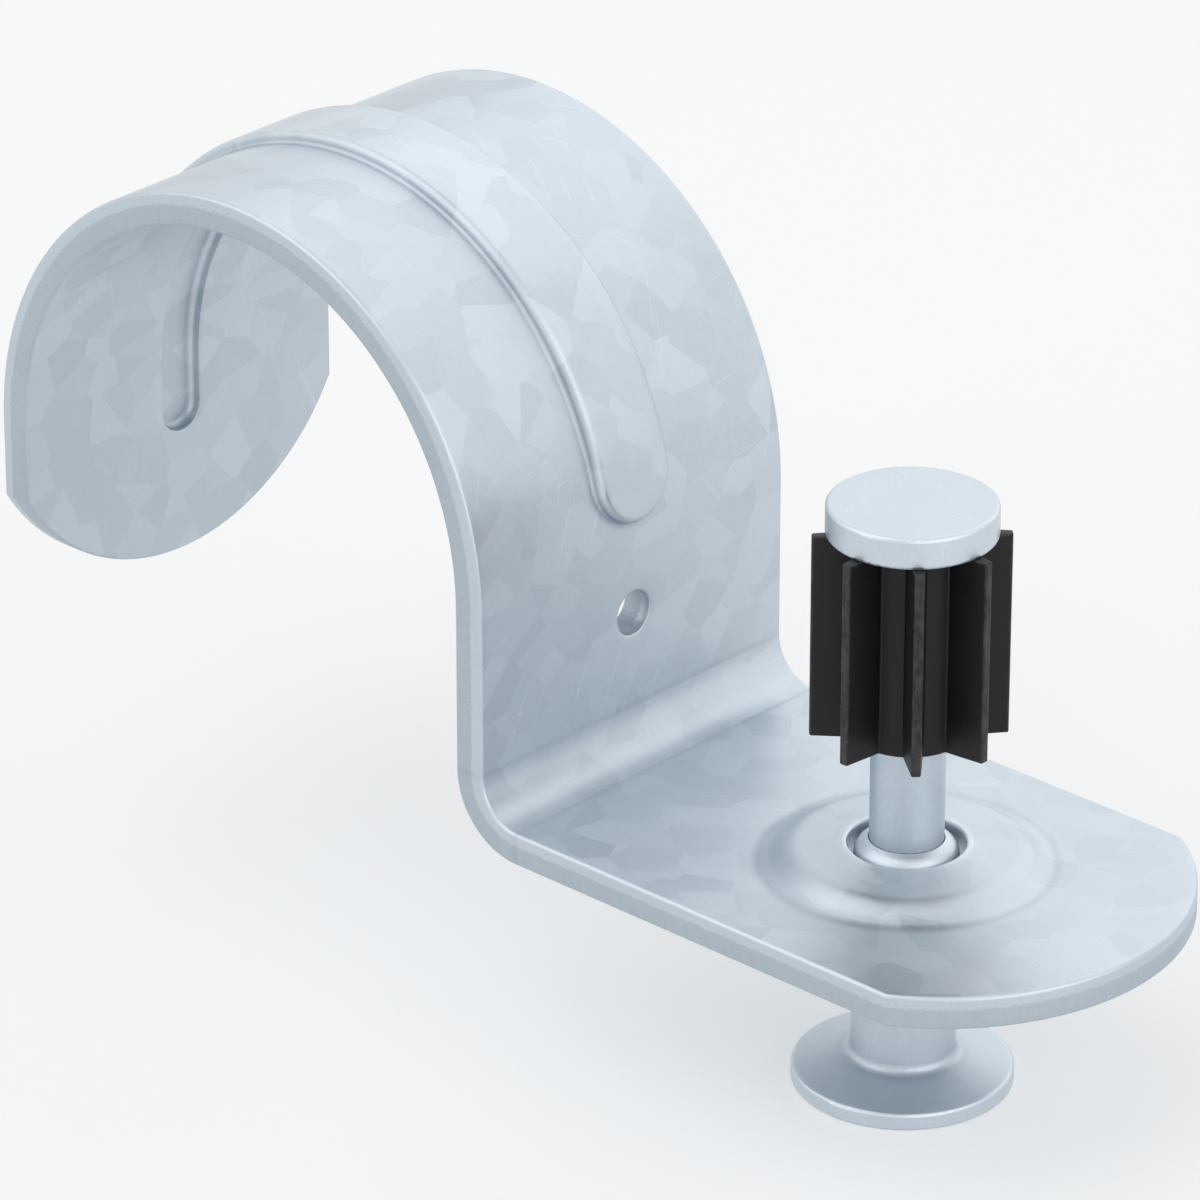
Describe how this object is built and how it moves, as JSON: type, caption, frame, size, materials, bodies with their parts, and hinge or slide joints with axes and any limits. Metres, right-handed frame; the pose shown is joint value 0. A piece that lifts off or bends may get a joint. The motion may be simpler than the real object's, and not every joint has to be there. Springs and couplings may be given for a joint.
{
  "type": "conduit clip",
  "caption": "One-sided galvanised strap clip for a round conduit, with a raised collar in its tab that carries a flanged thimble and a captive drive pin in a fluted plastic sleeve.",
  "frame": {"origin": "centre of the conduit seat, on the arch's axis and halfway across the strap's width", "axes": "+X from the conduit towards the tab and the pin, +Y along the conduit, +Z away from the wall"},
  "size_m": [0.0655, 0.0216, 0.0397],
  "materials": {
    "strap_zinc": "galvanised",
    "thimble_zinc": "zinc plated",
    "pin_zinc": "zinc plated",
    "sleeve_plastic": "moulded black"
  },
  "bodies": {
    "thimble": {"thimble": "thimble_zinc"},
    "strap": {"strap": "strap_zinc"},
    "pin": {"drive_pin": "pin_zinc", "guide_sleeve": "sleeve_plastic"}
  },
  "joints": [
    {"name": "strap_slide", "type": "slide", "parent": "thimble", "child": "strap", "axis": [0, 0, -1], "range_m": [0, 0.0095]},
    {"name": "pin_drive", "type": "slide", "parent": "thimble", "child": "pin", "axis": [0, 0, -1], "range_m": [0, 0.0054]}
  ]
}
